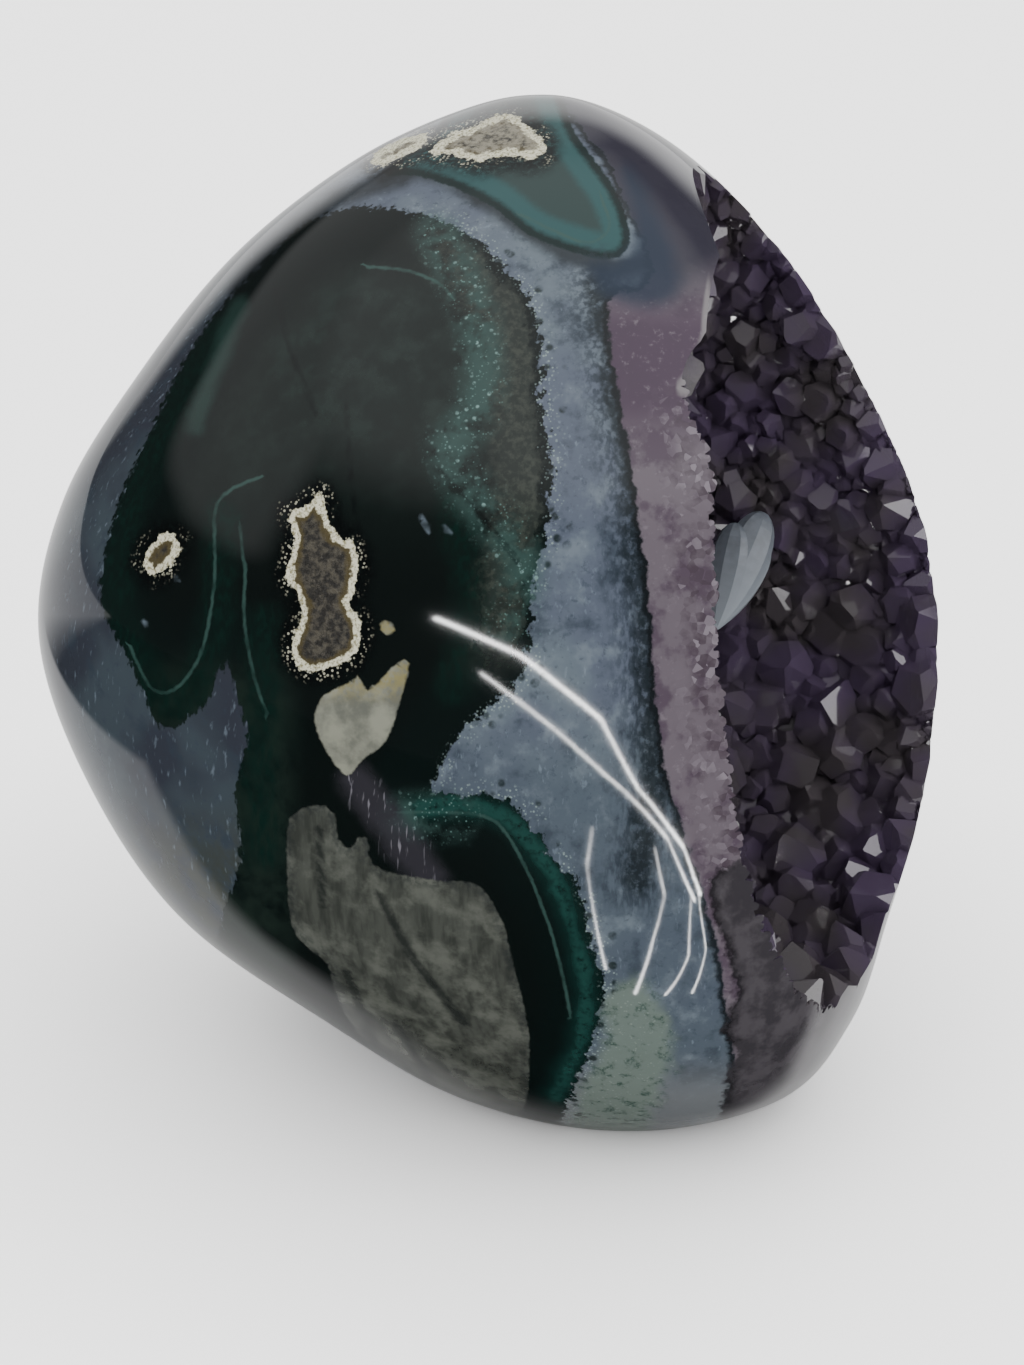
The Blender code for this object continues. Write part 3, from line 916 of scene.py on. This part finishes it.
def lobeDistance(points, quartz):
    # Roughly the distance from the hollow's wall, or the quartz's outer side; less than 0 within
    turn = mouthTurn()
    nearest = np.full(len(points), np.inf)
    for centre, radii, depth in hollow["lobes"]:
        size = np.array(radii) + depth * quartz
        local = (points - np.array(centre)) @ turn
        reach = np.linalg.norm(local / size, axis=1)
        slope = np.linalg.norm(local / size**2, axis=1)
        nearest = np.minimum(nearest, reach * (reach - 1) / np.maximum(slope, 1e-9))
    return nearest


def writePattern(mesh):
    # Distances from the markings' edges, at each vertex, for the agate's material
    flat = np.empty(len(mesh.vertices) * 3)
    mesh.vertices.foreach_get("co", flat)
    toBody = np.array(standing().inverted())
    isPolished = np.zeros(len(mesh.vertices), bool)
    for face in mesh.polygons:
        if face.material_index == kindPolished:
            isPolished[list(face.vertices)] = True
    points = (flat.reshape(-1, 3) @ toBody[:3, :3].T + toBody[:3, 3])[isPolished]
    shrink = view["distance"] / (view["distance"] + points[:, 1])
    height = view["aimHeight"] + (points[:, 2] - view["aimHeight"]) * shrink
    places = np.column_stack([points[:, 0] * shrink, height])
    start, stop = picture["fadesOver"]
    side = np.clip((points[:, 1] - start) / (stop - start), 0, 1)
    side = side**2 * (3 - 2 * side)
    values = {"side": side, "wall": lobeDistance(points, 0.0)}
    for name, outlines in areas.items():
        parts = [lineDistance(places, outline, True) for outline in outlines]
        values[name] = np.min(parts, axis=0)
    for name, drawn in lines.items():
        parts = np.array([lineDistance(places, line, False) for line in drawn])
        values[name] = np.abs(parts).min(axis=0)
        if name in picture["thin"]:
            nearest = np.abs(parts).argmin(axis=0)
            values[name + "Side"] = parts[nearest, np.arange(len(places))]
    kept = ("side", "wall", "moss", "quartz")
    ended = [name for name in values if name not in kept and not name.endswith("Side")]
    for name in ended:
        values[name] = values[name] + side * picture["far"]
    values["quartz"] = values["quartz"] * (1 - side) + lobeDistance(points, 1.0) * side
    values["height"], values["across"] = height, places[:, 0]
    edge, middle, slope = picture["darkTop"]
    rise = np.abs(places[:, 0] - middle) * slope
    values["darkTop"] = edge - height + rise + side * picture["far"]
    for name, value in values.items():
        everywhere = np.zeros(len(mesh.vertices), np.float32)
        everywhere[isPolished] = value
        attribute = mesh.attributes.new(name, "FLOAT", "POINT")
        attribute.data.foreach_set("value", everywhere)


def surfaceTree(mesh):
    corners = [vert.co.copy() for vert in mesh.vertices]
    return BVHTree.FromPolygons(corners, [tuple(face.vertices) for face in mesh.polygons])


def smoothPolish(mesh, roundStone, surface):
    # Polished faces take the round stone's normals, so that no cut shows in a reflection
    corners = [vert.co.copy() for vert in roundStone.vertices]
    normals = [vert.normal.copy() for vert in roundStone.vertices]
    faces = [tuple(face.vertices) for face in roundStone.polygons]
    found = {}

    def normalAt(index):
        if index not in found:
            place, _, face, _ = surface.find_nearest(mesh.vertices[index].co)
            total = Vector()
            for corner in faces[face]:
                total += normals[corner] / max((corners[corner] - place).length, 1e-7) ** 2
            found[index] = total.normalized()
        return found[index]

    custom = [Vector()] * len(mesh.loops)
    for face in mesh.polygons:
        isFoot = face.normal.z < -0.99 and abs(face.center.z) < 1e-5
        face.use_smooth = face.material_index == kindPolished and not isFoot
        if face.use_smooth:
            for loop in face.loop_indices:
                custom[loop] = normalAt(mesh.loops[loop].vertex_index)
    mesh.normals_split_custom_set(custom)


def addPiece(name, mesh, materials=()):
    obj = bpy.data.objects.new(name, mesh)
    bpy.context.scene.collection.objects.link(obj)
    for material in materials:
        mesh.materials.append(material)
    return obj


def largestPart(mesh):
    # The mesh without the crumbs that the cuts leave loose
    bm = bmesh.new()
    bm.from_mesh(mesh)
    left, parts = set(bm.verts), []
    while left:
        part = [left.pop()]
        for vert in part:
            for edge in vert.link_edges:
                other = edge.other_vert(vert)
                if other in left:
                    left.discard(other)
                    part.append(other)
        parts.append(part)
    parts.sort(key=len)
    bmesh.ops.delete(bm, geom=[vert for part in parts[:-1] for vert in part], context="VERTS")
    bm.to_mesh(mesh)
    bm.free()
    return mesh


def buildGeode():
    whole = stoneMesh()
    cavity = wallMesh("cavity", kindSeam, quartz=1.0)
    shell = combined(whole.copy(), cavity.copy(), "DIFFERENCE")
    print("shell", len(shell.polygons))
    roundStone = stoneMesh(withFoot=False)
    surface = surfaceTree(roundStone)
    groups = crystalGroups(surface)
    joined = groups[0]
    for group in groups[1:]:
        joined = combined(joined, group, "UNION")
    print("joined crystals", len(joined.polygons), "groups", len(groups))
    room = combined(wallMesh("hollow", kindCrystal), joined, "DIFFERENCE")
    for blade in calciteMeshes():
        room = combined(room, blade, "DIFFERENCE")
    solid = combined(cavity, room, "DIFFERENCE")
    crust = largestPart(combined(solid, whole, "INTERSECT"))
    print("crust", len(crust.polygons))
    for name, mesh, node, slot in (
        ("agateShell", shell, "agate_shell", "agate"),
        ("amethystCrust", crust, "amethyst_crust", "amethyst"),
    ):
        writePattern(mesh)
        smoothPolish(mesh, roundStone, surface)
        piece = addPiece(name, mesh)
        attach(piece, "root")
        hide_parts(node)
    bpy.data.meshes.remove(roundStone)
    print("markings and normals")


buildGeode()


def addCamera():
    data = bpy.data.cameras.new("camera")
    camera = bpy.data.objects.new("camera", data)
    bpy.context.scene.collection.objects.link(camera)
    bpy.context.scene.camera = camera
    width, height = view["imageSize"]
    elevation = math.radians(view["elevationDeg"])
    forward = Vector((0, math.cos(elevation), -math.sin(elevation)))
    aim = standing() @ Vector((0, 0, view["aimHeight"]))
    camera.location = aim - forward * view["distance"] * metresInMm
    camera.rotation_euler = (math.radians(90) - elevation, 0, 0)
    data.sensor_fit = "VERTICAL"
    data.sensor_height = view["sensorMm"]
    data.lens = view["sensorMm"] * view["distance"] / (height * view["mmPerPixel"])
    data.shift_x = (width / 2 - view["aimPixel"][0]) / height
    data.shift_y = -(height / 2 - view["aimPixel"][1]) / height
    data.clip_start = 0.01


def gridMesh(name, size, height=0.0):
    bm = bmesh.new()
    bmesh.ops.create_grid(bm, x_segments=1, y_segments=1, size=size)
    bmesh.ops.translate(bm, verts=bm.verts, vec=(0, 0, height))
    mesh = bpy.data.meshes.new(name)
    bm.to_mesh(mesh)
    bm.free()
    return mesh


def addLight(name, place, turn, width, height, radiance):
    data = bpy.data.lights.new(name, "AREA")
    data.shape = "RECTANGLE"
    data.size, data.size_y = width, height
    data.energy = radiance * math.pi * width * height
    light = bpy.data.objects.new(name, data)
    bpy.context.scene.collection.objects.link(light)
    light.matrix_world = Matrix.Translation(place) @ turn.to_4x4()
    light.visible_camera = False
    return light


def addBar(first, last, share, radiance):
    # A narrow bar of light, which the polish shows as a bright curved line
    middle = (first + last) / 2
    back = middle - standing() @ Vector((0, 0, view["aimHeight"]))
    width = share * back.length
    along = (last - first).normalized()
    back = (back - along * back.dot(along)).normalized()
    turn = Matrix((along, back.cross(along), back)).transposed()
    bar = addLight("bar", middle, turn, (last - first).length, width, radiance)
    bar.visible_diffuse = False


def addSoftLight(name):
    place, side, radiance = studio[name]
    away = Vector(place) - standing() @ Vector(hollow["middle"])
    turn = away.to_track_quat("Z", "Y").to_matrix()
    return addLight(name, place, turn, side, side, radiance)


def addShadeSheet():
    # Only reflections see it: painted shade that keeps the polish dark where it mirrors the floor
    # around the stone. Only reflections see it: it keeps the polish dark where the photo's is
    material, shader, add, connect = newMaterial("painted floor shade, seen only in reflections")
    way = add("TexCoord", out="Object")
    soft = studio["shadeSheet"]["soft"]
    masks = []
    for axis, (low, high) in zip("XY", studio["shadeSheet"]["clear"]):
        place = add("SeparateXYZ", {0: way}, out=axis)
        for start, stop in ((low, low - soft), (high, high + soft)):
            values = {"Value": place, "From Min": start, "From Max": stop}
            masks.append(add("MapRange", values, interpolation_type="SMOOTHSTEP"))
    alpha = masks[0]
    for mask in masks[1:]:
        alpha = add("Math", {0: alpha, 1: mask}, operation="MAXIMUM")
    place = add("SeparateXYZ", {0: way}, out="Y")
    stop, start = studio["shadeSheet"]["ends"]
    ending = {"Value": place, "From Min": start, "From Max": stop}
    alpha = add("Math", {0: alpha, 1: add("MapRange", ending)}, operation="MULTIPLY")
    connect(shader, {"Base Color": hexColour("#101010"), "Roughness": 0.9, "Alpha": alpha})
    mesh = gridMesh("shadeSheet", studio["shadeSheet"]["size"], studio["shadeSheet"]["height"])
    shadeSheet = addPiece("shadeSheet", mesh, [material])
    shadeSheet.visible_camera = shadeSheet.visible_diffuse = shadeSheet.visible_shadow = False
    shadeSheet.visible_transmission = False


def addRoom():
    # A soft white ceiling, back wall and left wall; the rest of the room is dim
    world = bpy.data.worlds.new("studio")
    bpy.context.scene.world = world
    world.use_nodes = True
    tree = world.node_tree
    add, connect = nodeTools(tree)
    way = add("TexCoord", out="Generated")
    total = studio["dim"]
    for glow, limits in studio["room"]:
        for direction, start, stop in limits:
            reach = add("VectorMath", {0: way, 1: direction}, out="Value", operation="DOT_PRODUCT")
            values = {"Value": reach, "From Min": start, "From Max": stop, "To Max": glow}
            glow = add("MapRange", values, interpolation_type="SMOOTHSTEP")
        total = add("Math", {0: total, 1: glow}, operation="MAXIMUM")
    lit = {0: add("LightPath", out="Is Diffuse Ray"), 1: studio["fill"], 2: total}
    total = add("Math", lit, operation="MULTIPLY_ADD")
    connect(tree.nodes["Background"], {"Strength": total, "Color": hexColour("#ffffff")})


def addStage():
    material, shader, add, connect = newMaterial("pale floor, matt")
    # Painted shadow: the floor's glow fades near the stone, as a contact shadow
    near = add("AmbientOcclusion", {"Distance": studio["paintedShadowReach"]}, out="AO", samples=2)
    shown = add("Math", {0: near, 1: studio["floorGlow"]}, operation="MULTIPLY")
    glow = add("Math", {0: add("LightPath", out="Is Camera Ray"), 1: shown}, operation="MULTIPLY")
    values = {"Base Color": hexColour("#f2f2f2"), "Roughness": 0.7}
    values.update({"Emission Color": (1, 1, 1, 1), "Emission Strength": glow})
    connect(shader, values)
    addPiece("floor", gridMesh("floor", studio["floorSize"]), [material])
    addRoom()
    addShadeSheet()
    addSoftLight("window")
    addSoftLight("front").visible_glossy = False
    for points, share, radiance in studio["bars"]:
        for first, last in zip(points, points[1:]):
            addBar(Vector(first), Vector(last), share, radiance)


addCamera()
addStage()
